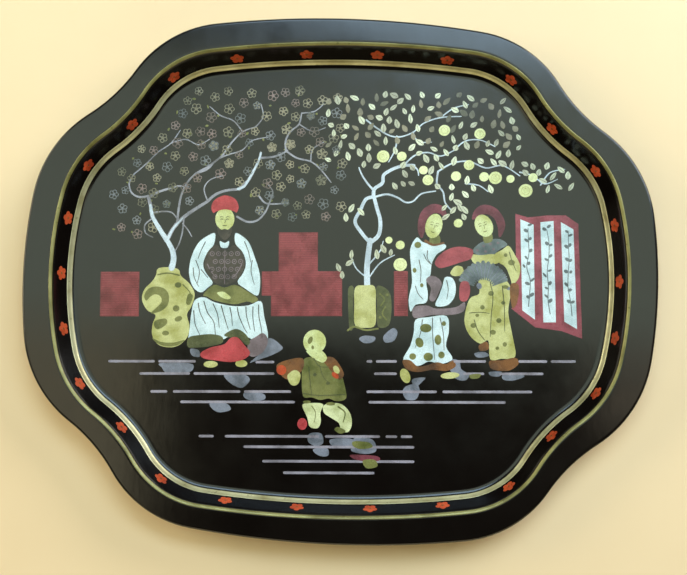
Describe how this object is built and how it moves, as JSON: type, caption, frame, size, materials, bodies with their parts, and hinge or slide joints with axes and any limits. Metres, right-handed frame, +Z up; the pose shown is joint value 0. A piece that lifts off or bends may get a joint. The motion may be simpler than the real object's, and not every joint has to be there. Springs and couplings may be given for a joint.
{
  "type": "serving tray",
  "caption": "Black enamelled tin serving tray with bowed sides, notched corners, a curled rim, gold lines, a rosette border and a printed garden scene.",
  "frame": {"origin": "middle of the tray's outline, on the surface that it stands on", "axes": "+X along the tray's length, +Y across its width towards the top of the picture, +Z up"},
  "size_m": [0.3298, 0.2738, 0.0165],
  "materials": {
    "tinplate": "satin",
    "black_enamel": "gloss",
    "gold_ink": "gloss",
    "orange_ink": "gloss",
    "red_ink": "gloss",
    "dark_red_ink": "gloss",
    "brown_ink": "gloss",
    "lilac_ink": "gloss",
    "white_ink": "gloss",
    "pink_ink": "gloss",
    "cream_ink": "gloss",
    "yellow_ink": "gloss",
    "olive_ink": "gloss",
    "grey_ink": "gloss"
  },
  "bodies": {
    "root": {"tin_pan": "tinplate", "black_enamel": "black_enamel", "gold_line_upper": "gold_ink", "gold_line_lower": "gold_ink", "border_rosettes": "orange_ink", "garden_wall": "dark_red_ink", "terrace_lines_left": "lilac_ink", "terrace_lines_right": "lilac_ink", "terrace_lines_front": "lilac_ink", "blossom_urn": "yellow_ink", "blossom_urn_spots": "olive_ink", "blossom_branches": "lilac_ink", "blossoms": "pink_ink", "fruit_pot": "yellow_ink", "fruit_pot_shade": "olive_ink", "fruit_branches": "white_ink", "fruit_leaves": "cream_ink", "fruits": "yellow_ink", "elder_cap": "red_ink", "elder_face": "cream_ink", "elder_beard": "brown_ink", "elder_robe": "white_ink", "elder_chest_panel": "brown_ink", "elder_lap": "olive_ink", "elder_hem": "red_ink", "elder_shoes": "yellow_ink", "child_head": "cream_ink", "child_tuft": "olive_ink", "child_robe": "olive_ink", "child_sleeves": "brown_ink", "child_trousers": "cream_ink", "child_toy": "red_ink", "left_lady_cap": "dark_red_ink", "left_lady_face": "cream_ink", "left_lady_robe": "white_ink", "left_lady_sprigs": "olive_ink", "left_lady_sash": "brown_ink", "left_lady_shoes": "yellow_ink", "right_lady_cap": "dark_red_ink", "right_lady_face": "cream_ink", "right_lady_robe": "yellow_ink", "right_lady_sprigs": "olive_ink", "right_lady_hem": "orange_ink", "red_shawl": "red_ink", "striped_fan": "grey_ink", "screen_frame": "red_ink", "screen_panels": "white_ink", "screen_sprigs": "olive_ink"}
  },
  "joints": []
}
